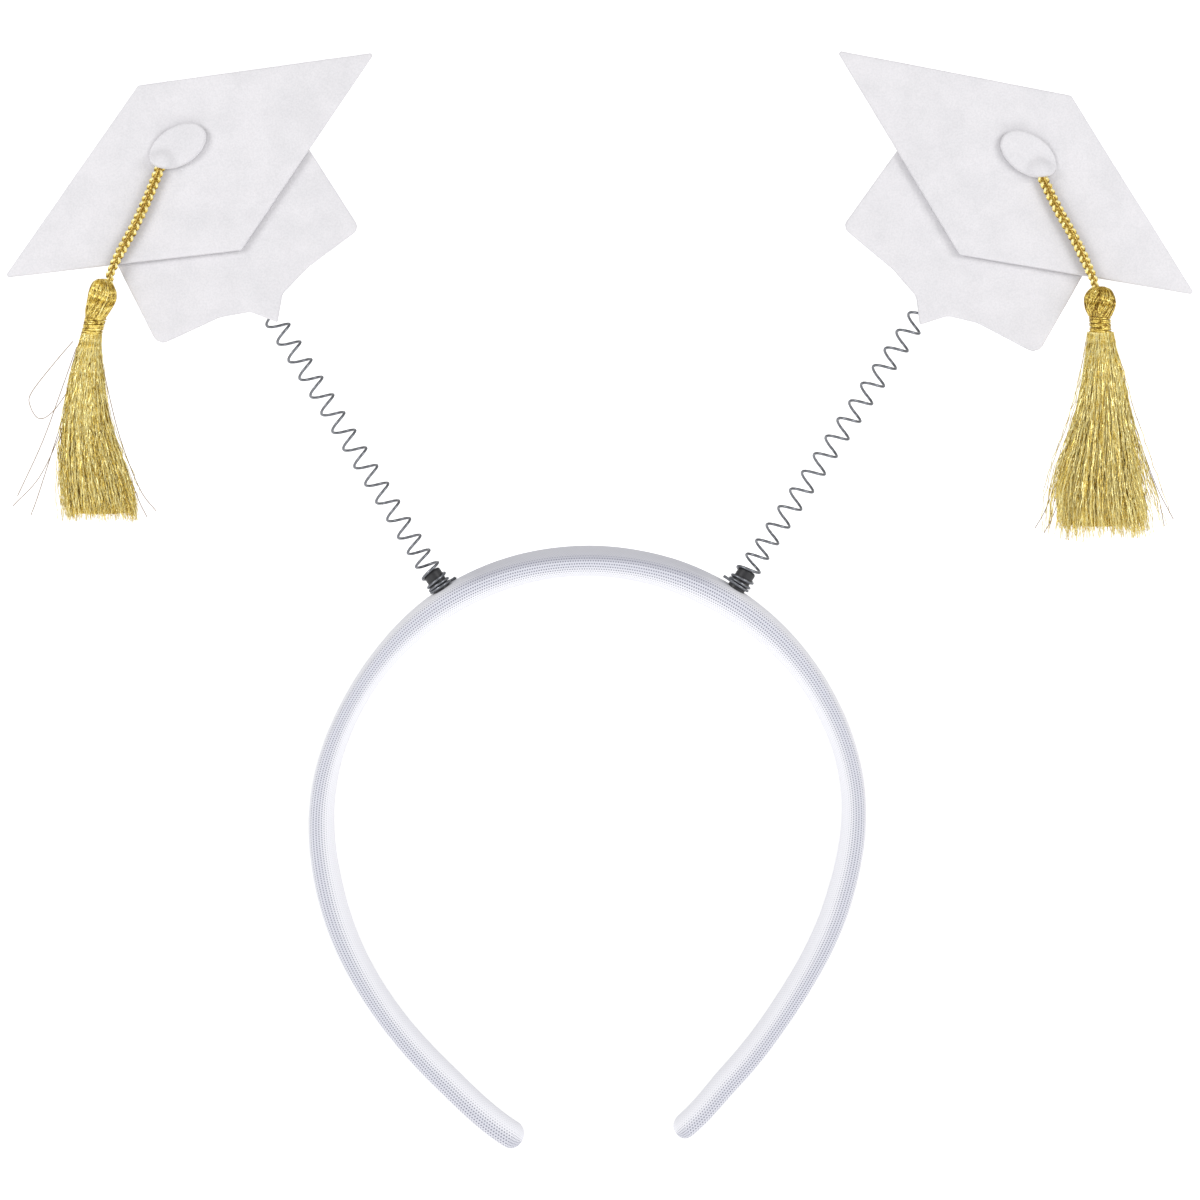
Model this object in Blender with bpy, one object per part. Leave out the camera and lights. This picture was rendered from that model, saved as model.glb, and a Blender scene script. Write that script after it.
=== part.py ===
# Graduation cap head bopper: a padded headband with two felt caps on wire springs, each with a gold tassel.
# Metres, +Z up, the front faces -Y. The origin is on the band's inner face, at the top of the arc.
import math

import bmesh
import bpy
from mathutils import Matrix, Vector

# Clearances
TOUCH_GAP = 0.0003
WINDING_GAP = 0.00015

# Headband: a springy band in a padded knit sleeve
BAND_RADIUS = 0.0680
BAND_THICKNESS = 0.0064
BAND_DEPTH = 0.0125
BAND_TIP_LENGTH = 0.0034
BAND_NOSE = 0.42
BAND_OUTER_SQUARENESS = 0.72
BAND_INNER_SQUARENESS = 0.95
BAND_STEPS = 66
BAND_SIDES = 16

# Wire springs and the posts that they are wound on
POST_RADIUS = 0.0023
POST_HEIGHT = 0.0052
POST_EDGE = 0.0004
SOCKET_DEPTH = 0.0012
WIRE_RADIUS = 0.00028
COIL_RADIUS = 0.0025
WIRE_STEPS_PER_TURN = 9
LEAN_BACK = 8.0

# Felt caps, flat cut-outs in layers
CROWN_FELT = 0.0014
BOARD_FELT = 0.0015
BOARD_HALF_LENGTH = 0.0538
BOARD_HALF_HEIGHT = 0.0241
BOARD_SKEW = 0.0006
BOARD_CORNER = 0.0005
CROWN_HALF_WIDTH = 0.0281
CROWN_DROP = 0.0385
BUTTON_LENGTH = 0.0155
BUTTON_HEIGHT = 0.0095
BUTTON_FELT = 0.0016
BUTTON_EDGE = 0.0005
BUTTON_RISE = 0.0059

# Felt strip that holds the spring's end to the back of the crown
STRIP_FELT = 0.0012
STRIP_HALF_WIDTH = 0.0072
STRIP_HEIGHT = 0.0065
STRIP_SET_IN = 0.0025
SPRING_HOLD = 0.0055

# Gold braided cord
CORD_RADIUS = 0.00118
CORD_END_RADIUS = 0.00080
CORD_POINTS = 10

# Gold tassels
TASSEL_LOCKS = 10
POINTS_PER_LOCK = 3
TASSEL_DEPTH = 0.75
WRAP_THREAD = 0.0007
WRAP_THREADS = 4
CORD_INSET = 0.0019

# Angle from the top in degrees; radius, thickness and depth as shares of the band's own; twist in degrees
BAND_SECTIONS = (
    # angle, radius, thickness, depth, twist
    (-166, 1.197, 1.05, 0.72, 0.0),
    (-150, 1.082, 1.03, 0.86, 0.0),
    (-130, 1.014, 0.98, 0.93, 0.0),
    (-105, 0.986, 1.06, 1.00, 0.0),
    (-82, 0.991, 0.97, 1.00, 0.0),
    (-58, 0.989, 0.88, 1.00, 0.0),
    (-30, 1.000, 1.11, 1.00, 2.0),
    (0, 1.004, 1.08, 1.00, 6.0),
    (28, 1.000, 1.20, 1.00, 2.0),
    (58, 0.998, 1.00, 1.00, 0.0),
    (80, 0.993, 0.95, 1.00, 0.0),
    (106, 0.967, 1.01, 1.00, 0.0),
    (130, 0.987, 0.96, 0.93, 0.0),
    (150, 1.077, 0.96, 0.86, 0.0),
    (162, 1.184, 0.92, 0.72, 0.0),
)

# Rise of the wire at the front of each turn that is wound on the post, as shares of the post's height
TURNS_ON_POST = (0.09, 0.25, 0.46, 1.02)

# Crown from its outer side round to its inner side: shares of the half width, of the drop and of the half width
CROWN_OUTLINE = (
    # across, down, corner
    (-0.985, 0.10, 0.00),
    (-1.070, 0.87, 0.09),
    (-0.470, 0.92, 0.30),
    (-0.220, 0.99, 0.12),
    (-0.060, 1.14, 0.00),
    (0.110, 1.00, 0.10),
    (0.420, 0.94, 0.30),
    (0.995, 0.90, 0.07),
    (0.970, 0.10, 0.00),
)

# Tassel skirt: shares of the skirt's length and of its width, and how deep the grooves between locks are
SKIRT_ROWS = (
    # down, width, groove
    (0.00, 0.25, 0.03),
    (0.07, 0.30, 0.05),
    (0.22, 0.43, 0.07),
    (0.42, 0.59, 0.09),
    (0.62, 0.79, 0.11),
    (0.82, 0.95, 0.14),
    (0.95, 1.00, 0.18),
)
HEAD_ROWS = (
    # down, width
    (0.05, 0.45),
    (0.18, 0.78),
    (0.42, 1.00),
    (0.72, 0.96),
    (0.92, 0.78),
)

SIDES = {
    "left": {
        "side": -1,
        "post_angle": -30.7,
        "foot_rise": 0.0,
        "lean": 31.8,
        "cap_tilt": 31.3,
        "cap_reach": 0.1217,
        "cap_offset": 0.0024,
        "pitch": 0.00520,
        "opening_turns": (0.69, 0.80, 0.91),
        # the braid's middle on the board, from the cap's centre: outward, up
        "cord_route": (
            (0.0041, 0.0052),
            (0.0069, 0.0032),
            (0.0137, -0.0018),
            (0.0201, -0.0060),
            (0.0262, -0.0095),
            (0.0308, -0.0127),
            (0.0323, -0.0150),
        ),
        "cord_offset": 0.0020,
        "head_length": 0.0138,
        "head_width": 0.0066,
        "wrap_length": 0.0042,
        "neck_width": 0.0053,
        "skirt_length": 0.0468,
        "skirt_width": 0.0187,
        # sideways drift of the tassel's middle as shares of its length: down, outward
        "sway": (
            (0.00, 0.000),
            (0.08, 0.000),
            (0.17, 0.030),
            (0.27, 0.052),
            (0.42, 0.066),
            (0.60, 0.068),
            (0.78, 0.046),
            (1.00, 0.012),
        ),
    },
    "right": {
        "side": 1,
        "post_angle": 31.0,
        "foot_rise": 0.0004,
        "lean": 33.9,
        "cap_tilt": 34.3,
        "cap_reach": 0.1234,
        "cap_offset": 0.0001,
        "pitch": 0.00530,
        "opening_turns": (0.75, 0.82, 0.92),
        "cord_route": (
            (0.0033, 0.0046),
            (0.0060, 0.0030),
            (0.0134, -0.0012),
            (0.0205, -0.0047),
            (0.0263, -0.0080),
            (0.0313, -0.0112),
            (0.0330, -0.0135),
        ),
        "cord_offset": 0.0012,
        "head_length": 0.0118,
        "head_width": 0.0073,
        "wrap_length": 0.0045,
        "neck_width": 0.0054,
        "skirt_length": 0.0500,
        "skirt_width": 0.0237,
        "sway": (
            (0.00, 0.000),
            (0.18, 0.006),
            (0.38, 0.018),
            (0.60, 0.018),
            (0.78, 0.015),
            (1.00, 0.030),
        ),
    },
}

# Depths in a cap, along its own Y, from the spring's axis towards the front
CROWN_BACK = -(COIL_RADIUS + WIRE_RADIUS + TOUCH_GAP)
CROWN_FRONT = CROWN_BACK - CROWN_FELT
BOARD_BACK = CROWN_FRONT - TOUCH_GAP
BOARD_FRONT = BOARD_BACK - BOARD_FELT
BUTTON_BACK = BOARD_FRONT - TOUCH_GAP
BUTTON_FRONT = BUTTON_BACK - BUTTON_FELT
CORD_MIDDLE = BOARD_FRONT - TOUCH_GAP - CORD_RADIUS


def smooth(rows, at):
    """Reads every column of a table at a place in its first column, on one smooth curve through its rows."""
    last = len(rows) - 1
    k = max(i for i in range(last) if i == 0 or rows[i][0] <= at)
    share = (at - rows[k][0]) / (rows[k + 1][0] - rows[k][0])

    def slope(i, column):
        before, after = max(i - 1, 0), min(i + 1, last)
        return (rows[after][column] - rows[before][column]) / (rows[after][0] - rows[before][0])

    values = []
    for column in range(1, len(rows[0])):
        span = rows[k + 1][0] - rows[k][0]
        a, b = rows[k][column], rows[k + 1][column]
        m, n = slope(k, column) * span, slope(k + 1, column) * span
        values.append(
            (2 * share**3 - 3 * share**2 + 1) * a
            + (share**3 - 2 * share**2 + share) * m
            + (3 * share**2 - 2 * share**3) * b
            + (share**3 - share**2) * n
        )
    return values


def material(name, colour, roughness, metallic=0.0):
    made = bpy.data.materials.new(name)
    made.use_nodes = True
    shader = made.node_tree.nodes["Principled BSDF"]
    shader.inputs["Base Color"].default_value = (*colour, 1.0)
    shader.inputs["Roughness"].default_value = roughness
    shader.inputs["Metallic"].default_value = metallic
    return made


def add_object(name, data, finish, parent=None):
    made = bpy.data.objects.new(name, data)
    bpy.context.scene.collection.objects.link(made)
    if finish is not None:
        data.materials.append(finish)
    made.parent = parent
    return made


def mesh_from(name, bm, smooth_angle=None):
    bmesh.ops.recalc_face_normals(bm, faces=bm.faces)
    mesh = bpy.data.meshes.new(name)
    bm.to_mesh(mesh)
    bm.free()
    if smooth_angle is not None:
        mesh.shade_smooth()
        mesh.set_sharp_from_angle(angle=math.radians(smooth_angle))
    return mesh


def skin_rings(name, rings, smooth_angle=40):
    """One closed body through rings of points, shut by a face at each end."""
    bm = bmesh.new()
    loops = [[bm.verts.new(point) for point in ring] for ring in rings]
    count = len(rings[0])
    for low, high in zip(loops, loops[1:]):
        for i in range(count):
            j = (i + 1) % count
            bm.faces.new((low[i], low[j], high[j], high[i]))
    bm.faces.new(loops[0])
    bm.faces.new(loops[-1])
    return mesh_from(name, bm, smooth_angle)


def cutter(name, mesh, parent=None):
    made = add_object(name, mesh, None, parent)
    made.hide_render = True
    made.display_type = "WIRE"
    return made


def cut(target, tool):
    step = target.modifiers.new("cut " + tool.name, "BOOLEAN")
    step.operation = "DIFFERENCE"
    step.object = tool


def cylinder_between(name, start, end, radius, segments=24):
    """A cylinder mesh from one point to another."""
    along = Vector(end) - Vector(start)
    turn = Vector((0, 0, 1)).rotation_difference(along).to_matrix().to_4x4()
    bm = bmesh.new()
    bmesh.ops.create_cone(
        bm,
        cap_ends=True,
        segments=segments,
        radius1=radius,
        radius2=radius,
        depth=along.length,
        matrix=Matrix.Translation((Vector(start) + Vector(end)) / 2) @ turn,
    )
    return mesh_from(name, bm)


def wire(name, points, radius, sides_setting, finish, parent, radii=None):
    """A tube with closed ends along a list of points."""
    curve = bpy.data.curves.new(name, "CURVE")
    curve.dimensions = "3D"
    curve.bevel_depth = radius
    curve.bevel_resolution = sides_setting
    curve.use_fill_caps = True
    spline = curve.splines.new("POLY")
    spline.points.add(len(points) - 1)
    for i, point in enumerate(points):
        spline.points[i].co = (*point, 1.0)
        spline.points[i].radius = radii[i] if radii else 1.0
    return add_object(name, curve, finish, parent)


def band_place(angle):
    """Middle of the band's section at an angle from the top, in the arc's own frame."""
    radius = smooth(BAND_SECTIONS, angle)[0] * BAND_RADIUS
    turn = math.radians(angle)
    return Vector((radius * math.sin(turn), 0, radius * math.cos(turn)))


BAND_TOP_ROW = smooth(BAND_SECTIONS, 0)
ARC_CENTRE = Vector((0, 0, BAND_TOP_ROW[1] * BAND_THICKNESS / 2 - BAND_TOP_ROW[0] * BAND_RADIUS))


def band_section(angle):
    """Middle, outward normal, depth direction, half thickness and half depth of the band at an angle."""
    low = max(angle - 1.0, BAND_SECTIONS[0][0])
    high = min(angle + 1.0, BAND_SECTIONS[-1][0])
    along = (band_place(high) - band_place(low)).normalized()
    outward = Vector((-along.z, 0, along.x))
    thickness, depth, twist = smooth(BAND_SECTIONS, angle)[1:]
    turn = Matrix.Rotation(math.radians(twist), 3, along)
    return {
        "middle": ARC_CENTRE + band_place(angle),
        "along": along,
        "outward": turn @ outward,
        "across": turn @ Vector((0, 1, 0)),
        "half_thickness": thickness * BAND_THICKNESS / 2,
        "half_depth": depth * BAND_DEPTH / 2,
    }


def band_ring(section, scale=1.0, shift=0.0):
    """Points round the padded band: a flat outer face, a rounded front and back, a full inner face."""
    ring = []
    for i in range(BAND_SIDES):
        turn = 2 * math.pi * i / BAND_SIDES
        squareness = BAND_OUTER_SQUARENESS if math.sin(turn) > 0 else BAND_INNER_SQUARENESS
        reach = 1 - BAND_NOSE if math.sin(turn) > 0 else 1 + BAND_NOSE
        across = math.copysign(abs(math.cos(turn)) ** squareness, math.cos(turn))
        rise = math.copysign(abs(math.sin(turn)) ** squareness, math.sin(turn)) * reach + BAND_NOSE
        ring.append(
            section["middle"]
            + section["across"] * across * section["half_depth"] * scale
            + section["outward"] * rise * section["half_thickness"] * scale
            + section["along"] * shift
        )
    return ring


def make_headband(finish):
    first, last = BAND_SECTIONS[0][0], BAND_SECTIONS[-1][0]
    tip_steps = (0.995, 0.90, 0.68, 0.36)
    rings = []
    for step in tip_steps:
        rings.append(band_ring(band_section(first), math.sqrt(1 - step**2), -step * BAND_TIP_LENGTH))
    for i in range(BAND_STEPS + 1):
        rings.append(band_ring(band_section(first + (last - first) * i / BAND_STEPS)))
    for step in reversed(tip_steps):
        rings.append(band_ring(band_section(last), math.sqrt(1 - step**2), step * BAND_TIP_LENGTH))
    return add_object("headband", skin_rings("headband", rings), finish)


def make_stalk(name, values):
    """Empty at the foot of a spring: its Z runs up the spring, its X runs across it in the picture."""
    section = band_section(values["post_angle"])
    stalk = add_object("stalk_" + name, None, None)
    stand = section["half_thickness"] + values["foot_rise"]
    stalk.location = section["middle"] + section["outward"] * stand
    lean_back = Matrix.Rotation(-math.radians(LEAN_BACK), 4, "X")
    lean_out = Matrix.Rotation(values["side"] * math.radians(values["lean"]), 4, "Y")
    stalk.rotation_euler = (lean_back @ lean_out).to_euler()
    return stalk


def make_post(name, values, finish, stalk, headband):
    socket_floor = -values["foot_rise"] - SOCKET_DEPTH
    foot = socket_floor + TOUCH_GAP
    bm = bmesh.new()
    bmesh.ops.create_cone(
        bm,
        cap_ends=True,
        segments=24,
        radius1=POST_RADIUS,
        radius2=POST_RADIUS,
        depth=POST_HEIGHT - foot,
        matrix=Matrix.Translation((0, 0, (POST_HEIGHT + foot) / 2)),
    )
    rim = [e for e in bm.edges if all(v.co.z > POST_HEIGHT - POST_EDGE / 2 for v in e.verts)]
    bmesh.ops.bevel(bm, geom=rim, offset=POST_EDGE, segments=2, affect="EDGES", profile=0.5)
    post = add_object("spring_post_" + name, mesh_from("spring_post_" + name, bm, 40), finish, stalk)
    hole = cylinder_between(
        "socket_" + name, (0, 0, socket_floor), (0, 0, POST_HEIGHT), POST_RADIUS + TOUCH_GAP
    )
    cut(headband, cutter("socket_" + name, hole, stalk))
    return post


def spring_length(values):
    return values["cap_reach"] - CROWN_DROP + STRIP_SET_IN + SPRING_HOLD


def spring_points(values):
    """Wire's middle line: close turns on the post that open out into even free turns."""
    heights = [share * POST_HEIGHT for share in TURNS_ON_POST]
    for share in values["opening_turns"]:
        heights.append(heights[-1] + share * values["pitch"])
    rows = [(float(turn), height) for turn, height in enumerate(heights)]
    opened = rows[-1]
    turns = opened[0] + (spring_length(values) - opened[1]) / values["pitch"]
    rows.append((turns, spring_length(values)))
    wound_radius = POST_RADIUS + WINDING_GAP + WIRE_RADIUS
    loose_turn = len(TURNS_ON_POST) - 1 + 0.15
    points = []
    count = math.floor(turns * WIRE_STEPS_PER_TURN)
    for i in range(count + 1):
        turn = turns * i / count
        if turn < opened[0]:
            height = smooth(rows[:-1], turn)[0]
        else:
            height = opened[1] + (turn - opened[0]) * values["pitch"]
        loosened = min(max(turn - loose_turn, 0.0), 1.0)
        radius = wound_radius + (COIL_RADIUS - wound_radius) * loosened
        around = 2 * math.pi * turn - math.pi / 2
        points.append((radius * math.cos(around), radius * math.sin(around), height))
    return points


def rounded(corners, steps=3):
    """Outline points in order, each corner with its radius turned into an arc."""
    points = []
    for i, (x, z, radius) in enumerate(corners):
        here = Vector((x, z))
        if radius <= 0:
            points.append(here)
            continue
        before = (Vector(corners[i - 1][:2]) - here).normalized()
        after = (Vector(corners[(i + 1) % len(corners)][:2]) - here).normalized()
        half = before.angle(after) / 2
        middle = here + (before + after).normalized() * radius / math.sin(half)
        start = here + before * radius / math.tan(half) - middle
        end = here + after * radius / math.tan(half) - middle
        for k in range(steps + 1):
            points.append(middle + start.lerp(end, k / steps).normalized() * radius)
    return points


def felt_mesh(name, outline, front, back):
    """Flat felt cut to an outline in X and Z, between a front and a back Y."""
    bm = bmesh.new()
    face = bm.faces.new([bm.verts.new((x, back, z)) for x, z in outline])
    made = bmesh.ops.extrude_face_region(bm, geom=[face])
    moved = [v for v in made["geom"] if isinstance(v, bmesh.types.BMVert)]
    bmesh.ops.translate(bm, verts=moved, vec=(0, front - back, 0))
    return mesh_from(name, bm)


def make_cap_frame(name, values, stalk):
    """Empty at the middle of a cap's board, its X along the board's long diagonal."""
    cap = add_object("cap_" + name, None, None, stalk)
    cap.location = (-values["side"] * values["cap_offset"], 0, values["cap_reach"])
    turn = math.radians(values["cap_tilt"] - values["lean"])
    cap.rotation_euler = (0, values["side"] * turn, 0)
    return cap


def make_crown(name, values, finish, cap):
    corners = [
        (
            -values["side"] * across * CROWN_HALF_WIDTH,
            -down * CROWN_DROP,
            corner * CROWN_HALF_WIDTH,
        )
        for across, down, corner in CROWN_OUTLINE
    ]
    mesh = felt_mesh("crown_" + name, rounded(corners), CROWN_FRONT, CROWN_BACK)
    return add_object("crown_" + name, mesh, finish, cap)


def make_board(name, values, finish, cap):
    corners = (
        (BOARD_HALF_LENGTH, BOARD_SKEW, BOARD_CORNER),
        (values["side"] * BOARD_SKEW, BOARD_HALF_HEIGHT, BOARD_CORNER),
        (-BOARD_HALF_LENGTH, BOARD_SKEW, BOARD_CORNER),
        (0, -BOARD_HALF_HEIGHT, BOARD_CORNER),
    )
    mesh = felt_mesh("board_" + name, rounded(corners), BOARD_FRONT, BOARD_BACK)
    return add_object("board_" + name, mesh, finish, cap)


def make_strip(name, values, finish, stalk):
    """Felt strip with two flat wings, arched over the last turns of the spring."""
    inner = COIL_RADIUS + WIRE_RADIUS + TOUCH_GAP
    outer = inner + STRIP_FELT
    wing = CROWN_BACK + TOUCH_GAP
    arch = [math.pi * k / 12 for k in range(13)]
    outline = [(STRIP_HALF_WIDTH, wing), (STRIP_HALF_WIDTH, wing + STRIP_FELT)]
    outline += [(outer, wing + STRIP_FELT)]
    outline += [(outer * math.cos(a), outer * math.sin(a)) for a in arch]
    outline += [(-outer, wing + STRIP_FELT)]
    outline += [(-STRIP_HALF_WIDTH, wing + STRIP_FELT), (-STRIP_HALF_WIDTH, wing), (-inner, wing)]
    outline += [(inner * math.cos(a), inner * math.sin(a)) for a in reversed(arch)]
    outline += [(inner, wing)]
    low = values["cap_reach"] - CROWN_DROP + STRIP_SET_IN
    bm = bmesh.new()
    face = bm.faces.new([bm.verts.new((x, y, low)) for x, y in outline])
    made = bmesh.ops.extrude_face_region(bm, geom=[face])
    moved = [v for v in made["geom"] if isinstance(v, bmesh.types.BMVert)]
    bmesh.ops.translate(bm, verts=moved, vec=(0, 0, STRIP_HEIGHT))
    return add_object("spring_strip_" + name, mesh_from("spring_strip_" + name, bm, 40), finish, stalk)


def cord_points(values):
    """The braid's middle line in the cap's frame, evenly spaced on one smooth curve through its route."""
    route = [Vector((values["side"] * x, CORD_MIDDLE, z)) for x, z in values["cord_route"]]
    travelled = [0.0]
    for a, b in zip(route, route[1:]):
        travelled.append(travelled[-1] + (b - a).length)
    rows = [(at, *point) for at, point in zip(travelled, route)]
    return [Vector(smooth(rows, travelled[-1] * i / (CORD_POINTS - 1))) for i in range(CORD_POINTS)]


def make_cord(name, values, finish, cap):
    points = cord_points(values)
    slim = CORD_END_RADIUS / CORD_RADIUS
    radii = [1.0] * (CORD_POINTS - 3) + [(1 + slim) / 2, slim, slim]
    return wire("cord_" + name, points, CORD_RADIUS, 2, finish, cap, radii)


def make_button(name, values, finish, cap):
    outline = []
    for i in range(32):
        turn = 2 * math.pi * i / 32
        outline.append(
            (BUTTON_LENGTH / 2 * math.cos(turn), BUTTON_RISE + BUTTON_HEIGHT / 2 * math.sin(turn))
        )
    mesh = felt_mesh("button_" + name, outline, BUTTON_FRONT, BUTTON_BACK)
    bm = bmesh.new()
    bm.from_mesh(mesh)
    rim = [e for e in bm.edges if all(v.co.y < BUTTON_FRONT + BUTTON_EDGE / 2 for v in e.verts)]
    bmesh.ops.bevel(bm, geom=rim, offset=BUTTON_EDGE, segments=2, affect="EDGES", profile=0.5)
    button = add_object("button_" + name, mesh_from("button_" + name, bm, 40), finish, cap)
    start, following = cord_points(values)[:2]
    away = (following - start).normalized()
    slot = cylinder_between(
        "cord_slot_" + name,
        start - away * TOUCH_GAP,
        start + away * BUTTON_LENGTH,
        CORD_RADIUS + TOUCH_GAP,
    )
    cut(button, cutter("cord_slot_" + name, slot, cap))
    return button


def tassel_middle(values, down):
    """Sideways place of the tassel's middle line at a distance below its top."""
    length = values["head_length"] + values["skirt_length"]
    return values["side"] * smooth(values["sway"], down / length)[0] * length


def tassel_ring(values, down, radius, groove=0.0, hem=0.0):
    """A level ring of points round the tassel's middle line. Grooves part its locks, and hem lets them end unevenly."""
    count = TASSEL_LOCKS * POINTS_PER_LOCK
    middle = tassel_middle(values, down)
    depth = 1 - (1 - TASSEL_DEPTH) * min(1.0, max(0.0, down / values["head_length"] - 1))
    ring = []
    for i in range(count):
        turn = 2 * math.pi * i / count
        lock, place = divmod(i, POINTS_PER_LOCK)
        full = 1 - groove if place == 0 else 1.0
        drop = hem * (0.0 if place == 0 else 0.55 + 0.45 * math.sin(2.4 * lock + values["side"]))
        ring.append(
            Vector(
                (
                    middle + radius * full * math.cos(turn),
                    radius * full * depth * math.sin(turn),
                    -down - drop,
                )
            )
        )
    return ring


def neck_radius(values):
    return values["neck_width"] / 2 - WRAP_THREAD - WINDING_GAP


def make_tassel(name, values, finish, place, cord_end, cord_before):
    """Head, bound neck and flared skirt of locks, in one body. Its top is at the place given."""
    wrap_top = values["head_length"] - values["wrap_length"]
    rings = []
    for down, width in HEAD_ROWS:
        rings.append(tassel_ring(values, down * wrap_top, width * values["head_width"] / 2))
    rings.append(tassel_ring(values, wrap_top, neck_radius(values)))
    rings.append(tassel_ring(values, values["head_length"], neck_radius(values)))
    for down, width, groove in SKIRT_ROWS:
        lower = values["head_length"] + WRAP_THREAD + down * values["skirt_length"]
        last = down == SKIRT_ROWS[-1][0]
        hem = (1 - down) * values["skirt_length"] if last else 0.0
        rings.append(tassel_ring(values, lower, width * values["skirt_width"] / 2, groove, hem))
    bottom = values["head_length"] + 0.93 * values["skirt_length"]
    rings.append(tassel_ring(values, bottom, 0.5 * values["skirt_width"] / 2))
    tassel = add_object("tassel_" + name, skin_rings("tassel_" + name, rings, 50), finish)
    tassel.location = place
    inward = (cord_before - cord_end).normalized()
    hole = cylinder_between(
        "cord_hole_" + name,
        cord_end - inward * TOUCH_GAP,
        cord_end + inward * values["head_width"],
        CORD_END_RADIUS + TOUCH_GAP,
        16,
    )
    cut(tassel, cutter("cord_hole_" + name, hole))
    return tassel


def make_wrap(name, values, finish, place):
    """Ring of thread turns round the tassel's neck, with a ridge for each turn."""
    top = values["head_length"] - values["wrap_length"] + TOUCH_GAP
    height = values["wrap_length"] - TOUCH_GAP
    inner = neck_radius(values) + WINDING_GAP
    profile = [(inner, 0.0)]
    for thread in range(WRAP_THREADS):
        for share, bulge in ((0.12, 0.35), (0.5, 1.0), (0.88, 0.35)):
            profile.append((inner + bulge * WRAP_THREAD, (thread + share) / WRAP_THREADS * height))
    profile.append((inner, height))
    count = 20
    bm = bmesh.new()
    loops = []
    for radius, down in profile:
        middle = tassel_middle(values, top + down)
        turns = [2 * math.pi * i / count for i in range(count)]
        loops.append(
            [
                bm.verts.new((middle + radius * math.cos(t), radius * math.sin(t), -top - down))
                for t in turns
            ]
        )
    for k, loop in enumerate(loops):
        following = loops[(k + 1) % len(loops)]
        for i in range(count):
            j = (i + 1) % count
            bm.faces.new((loop[i], loop[j], following[j], following[i]))
    wrap = add_object("tassel_wrap_" + name, mesh_from("tassel_wrap_" + name, bm, 60), finish)
    wrap.location = place
    return wrap


def main():
    for old in list(bpy.data.objects):
        bpy.data.objects.remove(old)
    knit = material("white stretch knit", (0.80, 0.80, 0.83), 0.85)
    plastic = material("black moulded plastic", (0.03, 0.03, 0.032), 0.45)
    steel = material("steel spring wire", (0.62, 0.62, 0.64), 0.28, 1.0)
    felt = material("white felt", (0.84, 0.83, 0.86), 0.95)
    gold = material("gold metallic thread", (0.72, 0.52, 0.13), 0.38, 0.8)

    headband = make_headband(knit)
    for name, values in SIDES.items():
        stalk = make_stalk(name, values)
        make_post(name, values, plastic, stalk, headband)
        wire("spring_" + name, spring_points(values), WIRE_RADIUS, 1, steel, stalk)
        make_strip(name, values, felt, stalk)
        cap = make_cap_frame(name, values, stalk)
        make_crown(name, values, felt, cap)
        make_board(name, values, felt, cap)
        make_button(name, values, felt, cap)
        make_cord(name, values, gold, cap)
        bpy.context.view_layer.update()
        before, end = [cap.matrix_world @ point for point in cord_points(values)[-2:]]
        place = end + Vector((values["side"] * values["cord_offset"], 0, CORD_INSET))
        make_tassel(name, values, gold, place, end, before)
        make_wrap(name, values, gold, place)


main()
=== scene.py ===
import math
import random

import bpy
from mathutils import Matrix, Vector, noise


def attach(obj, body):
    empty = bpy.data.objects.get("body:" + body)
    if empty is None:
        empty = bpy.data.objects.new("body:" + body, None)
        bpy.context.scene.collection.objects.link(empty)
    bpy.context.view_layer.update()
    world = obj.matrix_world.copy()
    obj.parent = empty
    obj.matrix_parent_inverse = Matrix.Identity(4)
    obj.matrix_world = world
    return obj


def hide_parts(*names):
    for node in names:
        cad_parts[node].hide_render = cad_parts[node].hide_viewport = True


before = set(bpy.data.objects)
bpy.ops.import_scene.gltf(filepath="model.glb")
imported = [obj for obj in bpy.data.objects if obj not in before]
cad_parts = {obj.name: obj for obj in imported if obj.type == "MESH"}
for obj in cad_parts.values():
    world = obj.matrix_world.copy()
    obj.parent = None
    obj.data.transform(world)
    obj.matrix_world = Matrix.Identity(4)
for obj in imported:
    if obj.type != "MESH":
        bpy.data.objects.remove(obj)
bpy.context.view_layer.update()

print("frame loaded:", len(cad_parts), "solids")

mm = 0.001

# where each spring stands, how it leans, and how its cap sits on it
stalks = {
    "left": {
        "side": -1,
        "foot": (-0.036567, -0.000119, -0.003342),
        "lean": 31.8,
        "tilt": 31.3,
        "reach": 121.7 * mm,
        "offset": 2.4 * mm,
    },
    "right": {
        "side": 1,
        "foot": (0.037199, -0.000125, -0.002942),
        "lean": 33.9,
        "tilt": 34.3,
        "reach": 123.4 * mm,
        "offset": 0.1 * mm,
    },
}
leanBack = 8.0


def stalkFrame(name):
    stalk = stalks[name]
    turned = Matrix.Rotation(-math.radians(leanBack), 4, "X")
    turned = turned @ Matrix.Rotation(math.radians(stalk["side"] * stalk["lean"]), 4, "Y")
    return Matrix.Translation(stalk["foot"]) @ turned


def capFrame(name):
    stalk = stalks[name]
    middle = Matrix.Translation((-stalk["side"] * stalk["offset"], 0, stalk["reach"]))
    turn = math.radians(stalk["side"] * (stalk["tilt"] - stalk["lean"]))
    return stalkFrame(name) @ middle @ Matrix.Rotation(turn, 4, "Y")


# small tools

def hexColour(code):
    channels = [int(code[i:i + 2], 16) / 255 for i in (1, 3, 5)]
    linear = [c / 12.92 if c <= 0.04045 else ((c + 0.055) / 1.055) ** 2.4 for c in channels]
    return (*linear, 1.0)


def addNode(tree, kind, settings=None, inputs=None):
    node = tree.nodes.new(kind)
    for name, value in (settings or {}).items():
        setattr(node, name, value)
    for name, value in (inputs or {}).items():
        if isinstance(value, bpy.types.NodeSocket):
            tree.links.new(value, node.inputs[name])
        else:
            node.inputs[name].default_value = value
    return node


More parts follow.
